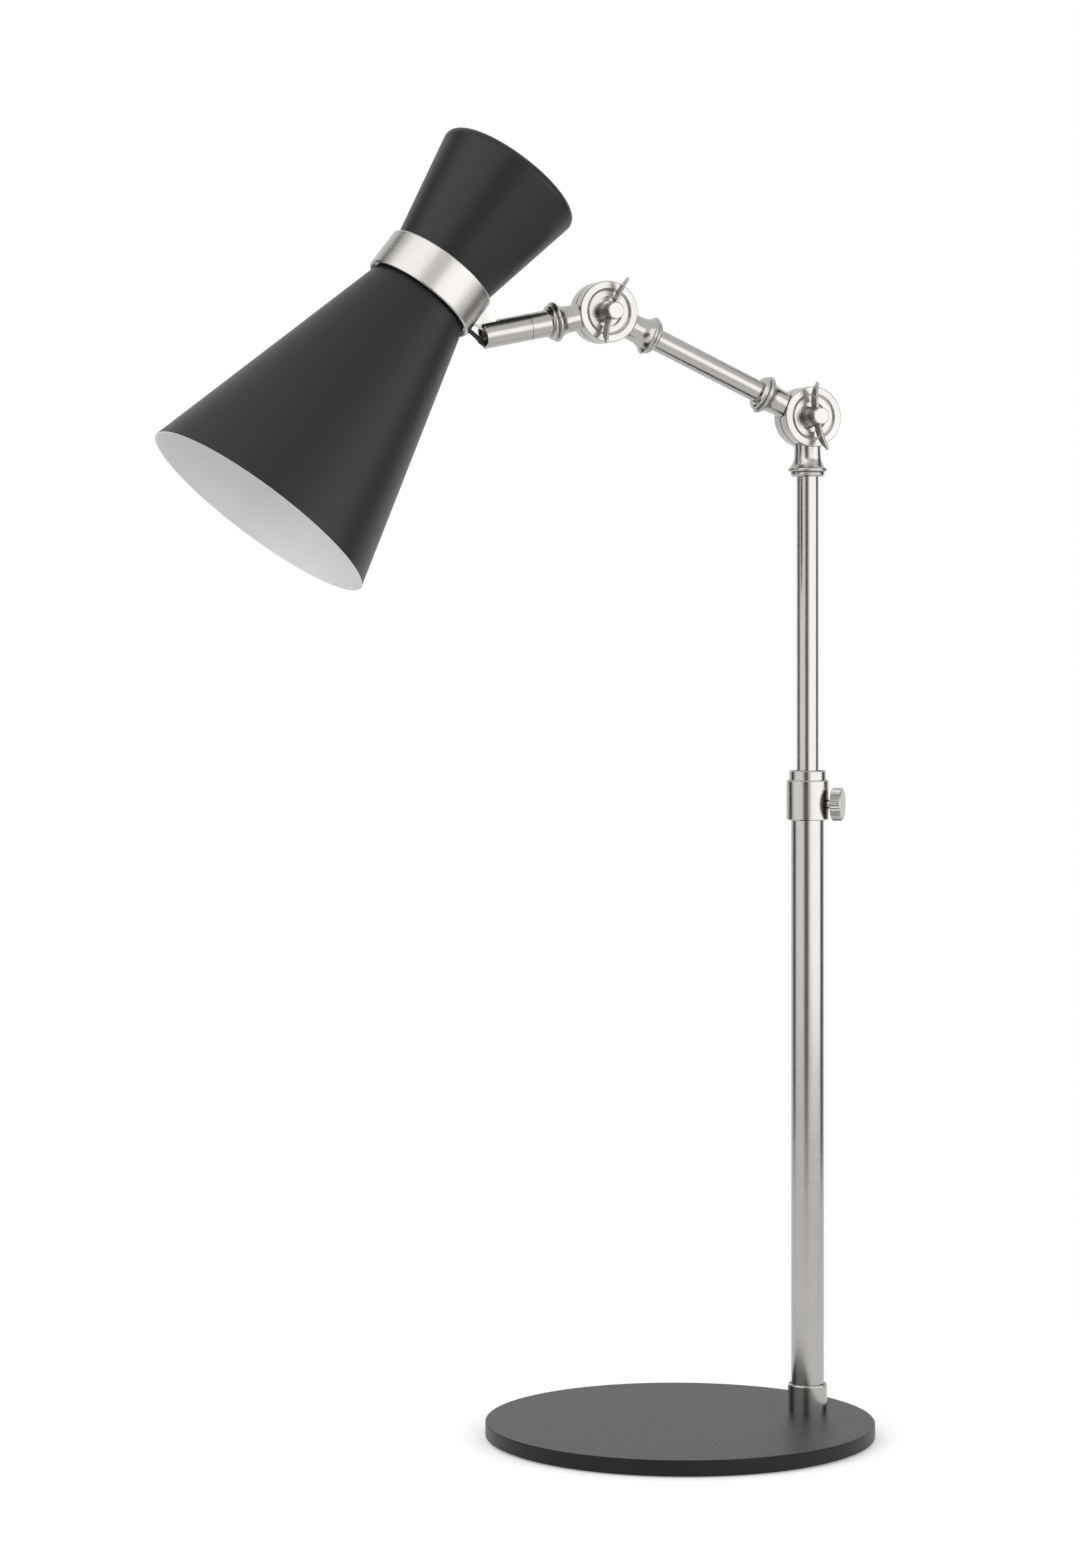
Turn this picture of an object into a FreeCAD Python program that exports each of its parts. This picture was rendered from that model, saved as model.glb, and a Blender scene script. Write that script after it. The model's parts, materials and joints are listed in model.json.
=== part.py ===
"""Adjustable desk lamp: round base, telescoping post, two wing-nut knuckles, hourglass shade.

Millimetres, +Z up. The origin is the centre of the base's underside. The post stands towards +X,
and the arm, the spur and the shade reach towards -X in the plane Y = 0. Both knuckles turn about
axes parallel to Y, with their wing nuts on the -Y side. Every piece is one named STEP file.
"""
import FreeCAD
import Part
import math
import os

V = FreeCAD.Vector

# ---------------------------------------------------------------- clearances
GAP = 0.3                     # between faces of bodies that move past each other
RUNNING_FIT = 0.09            # radial play of a shaft, tube or thread in its own bore
SADDLE_GAP = 0.4              # between a knuckle's rim and the saddle of the neck beside it

# ---------------------------------------------------------------- base
BASE_RADIUS = 111.5
PAD_THICKNESS = 1.0
PAD_INSET = 3.0               # the pad stops short of the plate's edge
PLATE_THICKNESS = 8.5
PLATE_EDGE_ROUND = 0.7
POST_INSET = 31.0             # from the base's edge to the post's axis
POST_X = BASE_RADIUS - POST_INSET
NUT_RECESS_RADIUS = 12.0
NUT_RECESS_DEPTH = 5.6
CHANNEL_WIDTH = 9.0           # the cord's way out under the plate
CHANNEL_HEIGHT = 6.4
CORD_HOLE_RADIUS = 2.6
GROMMET_LENGTH = 9.0

# ---------------------------------------------------------------- post
NIPPLE_RADIUS = 4.75
NIPPLE_BORE_RADIUS = 3.0
NIPPLE_RISE = 17.0            # how far the nipple stands above the base plate
NIPPLE_TAIL = 0.8             # thread left below the nut
NUT_FLATS = 15.0
NUT_HEIGHT = 3.6
WASHER_RADIUS = 10.0
WASHER_THICKNESS = 1.0
FOOT_PLUG_HEIGHT = 20.0
FERRULE_RADIUS = 11.3
FERRULE_HEIGHT = 15.5
FERRULE_ROUND = 0.9
LOWER_TUBE_RADIUS = 9.525
LOWER_TUBE_WALL = 1.2
LOWER_TUBE_LENGTH = 348.0
UPPER_TUBE_RADIUS = 6.35
UPPER_TUBE_WALL = 1.0
COLLAR_RADIUS = 12.2
COLLAR_HEIGHT = 23.2
COLLAR_SOCKET_DEPTH = 6.0     # how deep the lower tube sits in the collar
COLLAR_BORE_CLEARANCE = 0.4
COLLAR_CHAMFER = 0.6
COLLAR_CAP_RADIUS = 10.6
COLLAR_CAP_HEIGHT = 5.5
COLLAR_CAP_SPIGOT_RADIUS = 8.6
COLLAR_CAP_SPIGOT_DEPTH = 6.0
GUIDE_LENGTH = 22.0
GUIDE_DROP = 22.0             # from the collar's inner shoulder down to the upper retaining ring
RING_THICKNESS = 1.5
RING_PROUD = 1.4
UPPER_TUBE_TAIL = 1.5         # tube left below the lower retaining ring

# ---------------------------------------------------------------- thumbscrew
SCREW_TURN = -36.0            # the screw's direction about the post, measured from +X
SCREW_HEIGHT = 9.2            # above the collar's lower end
SCREW_RADIUS = 2.5
SCREW_PAD_THICKNESS = 1.5
SCREW_RELIEF_RADIUS = 4.6
SCREW_RELIEF_DEPTH = 0.8
KNOB_STANDOFF = 2.4           # from the collar's face to the knob
KNOB_RADIUS = 9.5
KNOB_THICKNESS = 6.2
KNOB_CHAMFER = 0.7
KNURL_COUNT = 36
KNURL_DEPTH = 0.55

# ---------------------------------------------------------------- knuckles
KNUCKLE_HEIGHT = 585.0        # the lower knuckle's axis above the table
DISC_RADIUS = 17.5
KNUCKLE_WIDTH = 17.0          # over both discs
DISC_GAP = 0.9                # between the two discs, filled mostly by the friction washer
DISC_EDGE_ROUND = 0.7
RIM_INNER_RADIUS = 13.5       # the flat rim of a disc's face ends here
DISH_WALL = 0.45              # the straight wall inside the rim
DISH_RADIUS = 10.6            # the hollow curve from that wall ends here
DISH_DEPTH = 1.3              # the floor inside the rim, below the face
FACE_RECESS_RADIUS = 8.7
FACE_RECESS_DEPTH = 3.8
NECK_START = 14.0
NECK_LENGTH = 34.5            # from the hinge axis to the neck's end
NECK_TOP_RADIUS = 7.9
NECK_WAIST_RADIUS = 7.6
NECK_BEAD_RADIUS = 11.45
NECK_COLLAR_RADIUS = 10.0     # the smaller bead at the neck's end
NECK_SOCKET_START = 22.0      # the tube's end inside the neck
BOLT_RADIUS = 2.9
BOLT_SQUARE = 6.0
BOLT_SQUARE_LENGTH = 2.5
BOLT_HEAD_RADIUS = 6.6
BOLT_HEAD_HEIGHT = 2.3
FRICTION_WASHER_RADIUS = 15.5
FRICTION_WASHER_THICKNESS = 0.6
NUT_WASHER_RADIUS = 6.3
NUT_WASHER_THICKNESS = 1.2

# ---------------------------------------------------------------- wing nuts
HUB_RADIUS = 4.9
HUB_FLANGE_RADIUS = 5.9
HUB_FLANGE_PROUD = 0.9        # the flange stands this far in front of the knuckle's face
HUB_FACE = 19.3               # the hub's front face, measured from the arm's middle plane
HUB_ROUND = 0.8
HUB_CAP = 1.6                 # metal in front of the bolt's end
WING_REACH = 19.8             # from the bolt's axis to a wing's tip
WING_TIP_PROUD = 1.3          # the tips stand this far in front of the hub's face
WING_TIP_ROUND = 1.3
WING_THICKNESS = 1.4
WING_EDGE_ROUND = 0.4
WING_BACK_CLEARANCE = 0.6     # from the knuckle's face to the wing
WING_HEEL_RADIUS = 8.0        # a wing's back edge leaves the knuckle's face here
WING_FRONT_DROP = 4.0         # from the hub's face back to the wing's front edge at its root
LOWER_WING_TURN = -9.4
UPPER_WING_TURN = 20.0

# ---------------------------------------------------------------- arm and spur
ARM_LENGTH = 140.0            # between the two knuckles' axes
ARM_RISE = 24.25              # degrees above the horizontal
SPUR_DROP = 11.5              # degrees below the horizontal
SPUR_RADIUS = 7.6
STUB_LENGTH = 12.2            # the fixed part of the spur, beyond the neck
SPINDLE_RADIUS = 4.5
SPINDLE_BORE_RADIUS = 2.5
SPINDLE_TAIL = 2.4            # spindle left beyond the sleeve's bearing
SLEEVE_LENGTH = 27.7
SLEEVE_BEARING = 6.0
SLEEVE_BORE_RADIUS = 6.3
NOTCH_LENGTH = 10.4
NOTCH_WIDTH = 7.9
CLIP_PROUD = 1.2
CLIP_THICKNESS = 1.2

# ---------------------------------------------------------------- shade joint
PIVOT_INSET = 7.6             # from the sleeve's open end back to the tilt pin
PIN_RADIUS = 1.5
PIN_HALF_LENGTH = 6.1
FORK_START = 5.4              # from the tilt pin back to the fork's closed end
FORK_END = 4.4
FORK_WEB = 2.0
FORK_FLAT = 3.0               # the fork's underside is cut away below the pin, for the lead
TONGUE_THICKNESS = 5.0
TONGUE_TIP_RADIUS = 3.0
TONGUE_WIDTH = 7.4
BRACKET_FOOT_WIDTH = 10.2
BRACKET_FOOT_SPAN = 12.0
BRACKET_FOOT_THICKNESS = 1.6
PIVOT_STANDOFF = 13.8         # from the band's face to the tilt pin
BRACKET_RISE = 5.8            # the bracket's middle above the shade's waist
BAR_INNER_RADIUS = 14.0       # the bar stops short of the socket's nut
BAR_TOP_RISE = 8.9            # the bar's upper edge above the waist

# ---------------------------------------------------------------- shade
SHADE_TILT = 38.05            # the shade's axis, degrees from the vertical
MOUTH_RADIUS = 70.3
WAIST_RADIUS = 28.0
LOWER_CONE_LENGTH = 160.0
UPPER_CONE_LENGTH = 82.5
CONE_END_RADIUS = 44.5        # where the upper cone would meet the plane of its flat end
SHOULDER_ROUND = 4.5
SHADE_WALL = 0.8
WAIST_FLANGE_RADIUS = 21.5
BAND_RADIUS = 33.5
BAND_WALL = 1.3
BAND_WIDTH = 23.2
BAND_LOW = -9.0               # the band's lower edge, measured from the waist
BAND_ROUND = 1.1
BAND_LIP = 2.6                # from each end of the band to the flange that holds it on the cones

# ---------------------------------------------------------------- socket and lead
PLATE_RIM_RADIUS = 26.8
SOCKET_PLATE_THICKNESS = 1.5
VENT_RADIUS = 3.2
VENT_CIRCLE = 19.0
VENT_ANGLES = (45.0, 90.0, 135.0, 225.0, 270.0, 315.0)
WAIST_SCREW_CIRCLE = 24.2
WAIST_SCREW_ANGLES = (60.0, 180.0, 300.0)
WAIST_SCREW_RADIUS = 1.4
WAIST_SCREW_LENGTH = 8.0
WAIST_SCREW_HEAD_RADIUS = 2.5
WAIST_SCREW_HEAD_HEIGHT = 1.7
BRACKET_SCREW_CIRCLE = 18.0
BRACKET_SCREW_RADIUS = 1.5
BRACKET_SCREW_HEAD_RADIUS = 2.7
BRACKET_SCREW_HEAD_HEIGHT = 1.6
BRACKET_SCREW_REACH = 6.4     # into the bar, above the socket plate
SOCKET_RADIUS = 17.5
SOCKET_LENGTH = 43.0
SOCKET_HANG = 2.5             # from the socket plate's underside down to the socket's top
SOCKET_BOSS_RADIUS = 8.0
SOCKET_BORE_RADIUS = 14.0
SOCKET_ROOF = 8.0             # ceramic above the bore
SHELL_WALL = 0.6
SHELL_INSET = 1.5
SHELL_LENGTH = 30.0
CONTACT_RADIUS = 4.0
CONTACT_THICKNESS = 0.8
SOCKET_NIPPLE_RISE = 7.0
SOCKET_NIPPLE_DEPTH = 5.0
SOCKET_NUT_HEIGHT = 3.6
LEAD_RADIUS = 1.3
LEAD_Y = 0.6                  # the lead runs a little behind the arm's plane
LEAD_DROP = 4.65              # below the spur's axis, under the fork
LEAD_ENTRY_DROP = 2.8         # below the waist, where the lead enters the band
BUSHING_RADIUS = 2.15
BUSHING_PROUD = 1.0


# ---------------------------------------------------------------- derived places
PLATE_TOP = PAD_THICKNESS + PLATE_THICKNESS
RECESS_CEILING = PAD_THICKNESS + NUT_RECESS_DEPTH
LOWER_TUBE_BORE = LOWER_TUBE_RADIUS - LOWER_TUBE_WALL
LOWER_TUBE_TOP = PLATE_TOP + LOWER_TUBE_LENGTH
COLLAR_BOTTOM = LOWER_TUBE_TOP - COLLAR_SOCKET_DEPTH
COLLAR_TOP = COLLAR_BOTTOM + COLLAR_HEIGHT
GUIDE_TOP = LOWER_TUBE_TOP - GUIDE_DROP - RING_THICKNESS
DISC_BACK = DISC_GAP / 2
DISC_FACE = KNUCKLE_WIDTH / 2
RECESS_FLOOR = DISC_FACE - FACE_RECESS_DEPTH
NUT_WASHER_FACE = RECESS_FLOOR + GAP + NUT_WASHER_THICKNESS
SLEEVE_START = NECK_LENGTH + STUB_LENGTH + GAP
SLEEVE_END = SLEEVE_START + SLEEVE_LENGTH
PIVOT_REACH = SLEEVE_END - PIVOT_INSET
BEARING_END = SLEEVE_START + SLEEVE_BEARING
WAIST = LOWER_CONE_LENGTH
BRACKET_MIDDLE = WAIST + BRACKET_RISE
PIVOT_RADIUS = BAND_RADIUS + PIVOT_STANDOFF
PLATE_LOW = WAIST + SHADE_WALL
PLATE_HIGH = PLATE_LOW + SOCKET_PLATE_THICKNESS
LEAD_ENTRY = WAIST - LEAD_ENTRY_DROP


def rise_point(start, length, degrees):
    """The point a length away from start in the plane Y = 0, at an angle from +X up to +Z."""
    angle = math.radians(degrees)
    return V(start.x + length * math.cos(angle), 0, start.z + length * math.sin(angle))


LOWER_AXIS = V(POST_X, 0, KNUCKLE_HEIGHT)
UPPER_AXIS = rise_point(LOWER_AXIS, ARM_LENGTH, 180 - ARM_RISE)
TILT_AXIS = rise_point(UPPER_AXIS, PIVOT_REACH, 180 + SPUR_DROP)
TILT = math.radians(SHADE_TILT)
SHADE_UP = V(math.sin(TILT), 0, math.cos(TILT))
SHADE_OUT = V(math.cos(TILT), 0, -math.sin(TILT))
MOUTH_CENTRE = TILT_AXIS - SHADE_OUT * PIVOT_RADIUS - SHADE_UP * BRACKET_MIDDLE


# ---------------------------------------------------------------- helpers
def cylinder(radius, low, high, centre=(0.0, 0.0)):
    """A cylinder about a vertical axis, from one height to another."""
    return Part.makeCylinder(radius, high - low, V(centre[0], centre[1], low), V(0, 0, 1))


def ring(outer, inner, low, high, centre=(0.0, 0.0)):
    """A cylinder with a bore."""
    return cylinder(outer, low, high, centre).cut(cylinder(inner, low - 1, high + 1, centre))


def along_y(radius, front, back):
    """A cylinder about the Y axis, from one Y to another."""
    return Part.makeCylinder(radius, back - front, V(0, front, 0), V(0, 1, 0))


def along_x(radius, low, high):
    """A cylinder about the X axis, from one X to another."""
    return Part.makeCylinder(radius, high - low, V(low, 0, 0), V(1, 0, 0))


def block(x, y, z):
    """A box from three pairs of limits."""
    size = [limits[1] - limits[0] for limits in (x, y, z)]
    return Part.makeBox(size[0], size[1], size[2], V(x[0], y[0], z[0]))


def spun(steps, axis=V(0, 0, 1)):
    """A solid of revolution about Z, or about Y, from an outline of (radius, height) steps.

    Each step is a point, or a pair of points: a point on the arc and the arc's end.
    """
    def place(point):
        return V(point[0], 0, point[1]) if axis.z else V(point[0], point[1], 0)

    edges = []
    here = place(steps[0])
    for step in list(steps[1:]) + [steps[0]]:
        if isinstance(step[0], tuple):
            middle, there = place(step[0]), place(step[1])
            edges.append(Part.Arc(here, middle, there).toShape())
        else:
            there = place(step)
            edges.append(Part.LineSegment(here, there).toShape())
        here = there
    return Part.Face(Part.Wire(edges)).revolve(V(0, 0, 0), axis, 360)


def hexagon(flats, low, high):
    """A hexagonal prism about Z."""
    corner = flats / math.sqrt(3)
    points = [V(corner * math.cos(k * math.pi / 3), corner * math.sin(k * math.pi / 3), low) for k in range(7)]
    return Part.Face(Part.makePolygon(points)).extrude(V(0, 0, high - low))


def swing(shape, pivot, degrees):
    """A copy turned about the Y axis through the origin and then moved to a pivot."""
    copy = shape.copy()
    copy.rotate(V(0, 0, 0), V(0, 1, 0), degrees)
    copy.translate(pivot)
    return copy


def round_corner(radius_at, height_at, size, sign_r, sign_h):
    """The middle point of a quarter round whose square corner is at (radius, height)."""
    inset = size * (1 - math.sqrt(0.5))
    return (radius_at - sign_r * inset, height_at - sign_h * inset)


# ---------------------------------------------------------------- base and post
def make_base_plate():
    edge = PLATE_EDGE_ROUND
    low, high = PAD_THICKNESS, PLATE_TOP
    plate = spun([
        (0, low), (BASE_RADIUS - edge, low),
        (round_corner(BASE_RADIUS, low, edge, 1, -1), (BASE_RADIUS, low + edge)),
        (BASE_RADIUS, high - edge),
        (round_corner(BASE_RADIUS, high, edge, 1, 1), (BASE_RADIUS - edge, high)),
        (0, high)])
    post = (POST_X, 0)
    plate = plate.cut(cylinder(NUT_RECESS_RADIUS, low - 1, RECESS_CEILING, post))
    plate = plate.cut(cylinder(NIPPLE_RADIUS, low, high + 1, post))
    half = CHANNEL_WIDTH / 2
    channel = block((POST_X, BASE_RADIUS + 1), (-half, half), (low - 1, low + CHANNEL_HEIGHT))
    return plate.cut(channel)


def make_base_pad():
    return cylinder(BASE_RADIUS - PAD_INSET, 0, PAD_THICKNESS)


def make_cord_grommet():
    half = CHANNEL_WIDTH / 2
    end = math.sqrt(BASE_RADIUS ** 2 - half ** 2) - PLATE_EDGE_ROUND
    low, high = PAD_THICKNESS, PAD_THICKNESS + CHANNEL_HEIGHT
    body = block((end - GROMMET_LENGTH, end), (-half, half), (low, high))
    hole = along_x(CORD_HOLE_RADIUS, end - GROMMET_LENGTH - 1, end + 1)
    hole.translate(V(0, 0, (low + high) / 2))
    return body.cut(hole)


def make_foot_nipple():
    low = RECESS_CEILING - WASHER_THICKNESS - NUT_HEIGHT - NIPPLE_TAIL
    return ring(NIPPLE_RADIUS, NIPPLE_BORE_RADIUS, low, PLATE_TOP + NIPPLE_RISE, (POST_X, 0))


def make_foot_washer():
    return ring(WASHER_RADIUS, NIPPLE_RADIUS, RECESS_CEILING - WASHER_THICKNESS, RECESS_CEILING, (POST_X, 0))


def make_foot_nut():
    high = RECESS_CEILING - WASHER_THICKNESS
    nut = hexagon(NUT_FLATS, high - NUT_HEIGHT, high)
    nut = nut.cut(cylinder(NIPPLE_RADIUS, 0, high + 1))
    nut.translate(V(POST_X, 0, 0))
    return nut


def make_foot_plug():
    return ring(LOWER_TUBE_BORE, NIPPLE_RADIUS, PLATE_TOP, PLATE_TOP + FOOT_PLUG_HEIGHT, (POST_X, 0))


def make_post_ferrule():
    low, high, edge = PLATE_TOP, PLATE_TOP + FERRULE_HEIGHT, FERRULE_ROUND
    ferrule = spun([
        (LOWER_TUBE_RADIUS, low), (FERRULE_RADIUS, low), (FERRULE_RADIUS, high - edge),
        (round_corner(FERRULE_RADIUS, high, edge, 1, 1), (FERRULE_RADIUS - edge, high)),
        (LOWER_TUBE_RADIUS, high)])
    ferrule.translate(V(POST_X, 0, 0))
    return ferrule


def make_lower_tube():
    return ring(LOWER_TUBE_RADIUS, LOWER_TUBE_BORE, PLATE_TOP, LOWER_TUBE_TOP, (POST_X, 0))


def screw_direction(shape):
    """Turns a shape made along +X from the post's axis to the thumbscrew's direction."""
    shape.rotate(V(0, 0, 0), V(0, 0, 1), SCREW_TURN)
    shape.translate(V(POST_X, 0, COLLAR_BOTTOM + SCREW_HEIGHT))
    return shape


def make_clamp_collar():
    bore = UPPER_TUBE_RADIUS + COLLAR_BORE_CLEARANCE
    low, high, edge = COLLAR_BOTTOM, COLLAR_TOP, COLLAR_CHAMFER
    collar = spun([
        (LOWER_TUBE_RADIUS, low), (COLLAR_RADIUS - edge, low), (COLLAR_RADIUS, low + edge),
        (COLLAR_RADIUS, high - edge), (COLLAR_RADIUS - edge, high),
        (COLLAR_CAP_SPIGOT_RADIUS, high), (COLLAR_CAP_SPIGOT_RADIUS, high - COLLAR_CAP_SPIGOT_DEPTH),
        (bore, high - COLLAR_CAP_SPIGOT_DEPTH), (bore, LOWER_TUBE_TOP), (LOWER_TUBE_RADIUS, LOWER_TUBE_TOP)])
    collar.translate(V(POST_X, 0, 0))
    hole = screw_direction(along_x(SCREW_RADIUS + RUNNING_FIT, 0, COLLAR_RADIUS + 1))
    relief = Part.makeCone(
        SCREW_RADIUS, SCREW_RELIEF_RADIUS, SCREW_RELIEF_DEPTH + 1,
        V(COLLAR_RADIUS - SCREW_RELIEF_DEPTH - 1, 0, 0), V(1, 0, 0))
    return collar.cut(hole).cut(screw_direction(relief))


def make_collar_cap():
    bore = UPPER_TUBE_RADIUS + RUNNING_FIT
    high, edge = COLLAR_TOP + COLLAR_CAP_HEIGHT, COLLAR_CHAMFER
    cap = spun([
        (bore, COLLAR_TOP - COLLAR_CAP_SPIGOT_DEPTH), (COLLAR_CAP_SPIGOT_RADIUS, COLLAR_TOP - COLLAR_CAP_SPIGOT_DEPTH),
        (COLLAR_CAP_SPIGOT_RADIUS, COLLAR_TOP), (COLLAR_CAP_RADIUS, COLLAR_TOP),
        (COLLAR_CAP_RADIUS, high - edge), (COLLAR_CAP_RADIUS - edge, high), (bore, high)])
    cap.translate(V(POST_X, 0, 0))
    return cap


def make_guide_sleeve():
    return ring(
        LOWER_TUBE_BORE - RUNNING_FIT, UPPER_TUBE_RADIUS + RUNNING_FIT,
        GUIDE_TOP - GUIDE_LENGTH, GUIDE_TOP - GAP, (POST_X, 0))


def make_retaining_rings():
    rings = []
    for low in (GUIDE_TOP, GUIDE_TOP - GUIDE_LENGTH - GAP - RING_THICKNESS):
        rings.append(ring(UPPER_TUBE_RADIUS + RING_PROUD, UPPER_TUBE_RADIUS, low, low + RING_THICKNESS, (POST_X, 0)))
    return Part.makeCompound(rings)


def make_upper_tube():
    low = GUIDE_TOP - GUIDE_LENGTH - GAP - RING_THICKNESS - UPPER_TUBE_TAIL
    high = KNUCKLE_HEIGHT - NECK_SOCKET_START
    return ring(UPPER_TUBE_RADIUS, UPPER_TUBE_RADIUS - UPPER_TUBE_WALL, low, high, (POST_X, 0))


# ---------------------------------------------------------------- thumbscrew
def make_pressure_pad():
    near = UPPER_TUBE_RADIUS + GAP
    return screw_direction(along_x(SCREW_RADIUS, near, near + SCREW_PAD_THICKNESS))


def make_thumbscrew():
    tip = UPPER_TUBE_RADIUS + GAP + SCREW_PAD_THICKNESS + GAP
    near = COLLAR_RADIUS + KNOB_STANDOFF
    far = near + KNOB_THICKNESS
    points = []
    for k in range(2 * KNURL_COUNT + 1):
        radius = KNOB_RADIUS - KNURL_DEPTH * (k % 2)
        angle = k * math.pi / KNURL_COUNT
        points.append(V(near, radius * math.cos(angle), radius * math.sin(angle)))
    rim = Part.Face(Part.makePolygon(points)).extrude(V(KNOB_THICKNESS, 0, 0))
    edge = KNOB_CHAMFER
    blank = spun([(0, near), (KNOB_RADIUS - edge, near), (KNOB_RADIUS, near + edge),
                  (KNOB_RADIUS, far - edge), (KNOB_RADIUS - edge, far), (0, far)])
    blank.rotate(V(0, 0, 0), V(0, 1, 0), 90)
    knob = rim.common(blank)
    return screw_direction(knob.fuse(along_x(SCREW_RADIUS, tip, near)))


# ---------------------------------------------------------------- knuckles
def neck_solid(socket_radius):
    """A knuckle's turned neck, pointing down -Z from the hinge axis, with a socket in its end."""
    end = NECK_LENGTH
    bead = NECK_BEAD_RADIUS
    small = NECK_COLLAR_RADIUS
    neck = spun([
        (0, -NECK_START), (NECK_TOP_RADIUS, -NECK_START),
        ((NECK_WAIST_RADIUS, -(NECK_START + 6.0)), (NECK_WAIST_RADIUS + 0.2, -(end - 11.5))),
        ((NECK_WAIST_RADIUS + 1.0, -(end - 8.0)), (bead - 0.9, -(end - 5.1))),
        ((bead, -(end - 4.0)), (bead - 1.1, -(end - 2.9))),
        (small - 0.5, -(end - 2.7)),
        ((small, -(end - 1.6)), (small - 0.7, -(end - 0.5))),
        (small - 1.2, -end), (0, -end)])
    return neck.cut(cylinder(socket_radius, -end - 1, -NECK_SOCKET_START))


def disc_outline(side):
    """A disc from its inner side out to its dished face. side is -1 for the front disc, 1 for the rear."""
    def at(radius, depth):
        return (radius, side * (DISC_FACE - depth))

    edge, inset = DISC_EDGE_ROUND, DISC_EDGE_ROUND * (1 - math.sqrt(0.5))
    cove = (RIM_INNER_RADIUS - 0.3 * (RIM_INNER_RADIUS - DISH_RADIUS), 0.8 * DISH_DEPTH)
    return [
        (DISC_RADIUS, side * DISC_BACK), at(DISC_RADIUS, edge),
        (at(DISC_RADIUS - inset, inset), at(DISC_RADIUS - edge, 0)),
        at(RIM_INNER_RADIUS, 0), at(RIM_INNER_RADIUS, DISH_WALL),
        (at(*cove), at(DISH_RADIUS, DISH_DEPTH))]


def disc_front():
    """The front disc, with the recess that the wing nut's flange turns in."""
    bore = BOLT_RADIUS + RUNNING_FIT
    floor = -(DISC_FACE - DISH_DEPTH)
    return spun(
        [(bore, -DISC_BACK)] + disc_outline(-1)
        + [(FACE_RECESS_RADIUS, floor), (FACE_RECESS_RADIUS, -RECESS_FLOOR), (bore, -RECESS_FLOOR)], V(0, 1, 0))


def disc_rear():
    """The rear disc, with a square seat for the bolt."""
    floor = DISC_FACE - DISH_DEPTH
    disc = spun([(BOLT_RADIUS, DISC_BACK)] + disc_outline(1) + [(BOLT_RADIUS, floor)], V(0, 1, 0))
    half = BOLT_SQUARE / 2
    return disc.cut(block((-half, half), (floor - BOLT_SQUARE_LENGTH, DISC_FACE), (-half, half)))


def knuckle_front(socket_radius):
    """The casting with the recess. Its neck is cut back to a saddle round the rear disc."""
    saddle = along_y(DISC_RADIUS + SADDLE_GAP, -DISC_BACK, 2 * DISC_RADIUS)
    return disc_front().fuse(neck_solid(socket_radius).cut(saddle)).removeSplitter()


def knuckle_rear(socket_radius):
    """The casting behind. Its neck is cut back to a saddle round the front disc."""
    saddle = along_y(DISC_RADIUS + SADDLE_GAP, -2 * DISC_RADIUS, DISC_BACK)
    return disc_rear().fuse(neck_solid(socket_radius).cut(saddle)).removeSplitter()


def knuckle_bolt():
    """A cup-head bolt: domed head and square neck behind, shank ending inside the wing nut."""
    seat = DISC_FACE - DISH_DEPTH
    crown = seat + BOLT_HEAD_HEIGHT
    head = spun([
        (0, seat), (BOLT_HEAD_RADIUS, seat), (BOLT_HEAD_RADIUS, seat + 0.5),
        ((BOLT_HEAD_RADIUS * 0.65, crown - 0.45), (1.0, crown)), (0, crown)], V(0, 1, 0))
    half = BOLT_SQUARE / 2
    square = block((-half, half), (seat - BOLT_SQUARE_LENGTH, seat), (-half, half))
    tip = -(HUB_FACE - HUB_CAP - GAP)
    return head.fuse(square).fuse(along_y(BOLT_RADIUS, tip, seat))


def friction_washer():
    near, far = DISC_BACK - FRICTION_WASHER_THICKNESS, DISC_BACK
    return along_y(FRICTION_WASHER_RADIUS, near, far).cut(along_y(BOLT_RADIUS, near - 1, far + 1))


def nut_washer():
    near, far = -NUT_WASHER_FACE, -NUT_WASHER_FACE + NUT_WASHER_THICKNESS
    return along_y(NUT_WASHER_RADIUS, near, far).cut(along_y(BOLT_RADIUS + RUNNING_FIT, near - 1, far + 1))


def wing_blade():
    """The upper wing, as a thin leaf about the plane X = 0 that sweeps forward to a rounded tip."""
    def at(radius, front):
        return V(0, -front, radius)

    back = DISC_FACE + WING_BACK_CLEARANCE
    front = HUB_FACE - WING_FRONT_DROP
    tip = HUB_FACE + WING_TIP_PROUD
    root = HUB_RADIUS - 1.5
    shoulder = WING_REACH - WING_TIP_ROUND
    heel, tip_back, tip_front = at(WING_HEEL_RADIUS, back), at(shoulder, tip - 2.0), at(shoulder, tip + 0.7)
    middle = (WING_HEEL_RADIUS + shoulder) / 2
    edges = [
        Part.LineSegment(at(root, back), heel).toShape(),
        Part.Arc(heel, at(middle + 0.8, back + 3.2), tip_back).toShape(),
        Part.Arc(tip_back, at(WING_REACH, tip), tip_front).toShape(),
        Part.Arc(tip_front, at(middle - 0.8, front + 2.5), at(root, front)).toShape(),
        Part.LineSegment(at(root, front), at(root, back)).toShape()]
    blade = Part.Face(Part.Wire(edges)).extrude(V(WING_THICKNESS, 0, 0))
    blade.translate(V(-WING_THICKNESS / 2, 0, 0))
    outer_rims = [edge for edge in blade.Edges if edge.BoundBox.XLength < 0.01 and edge.BoundBox.YMin < -tip]
    return blade.makeFillet(WING_EDGE_ROUND, outer_rims)


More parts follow.
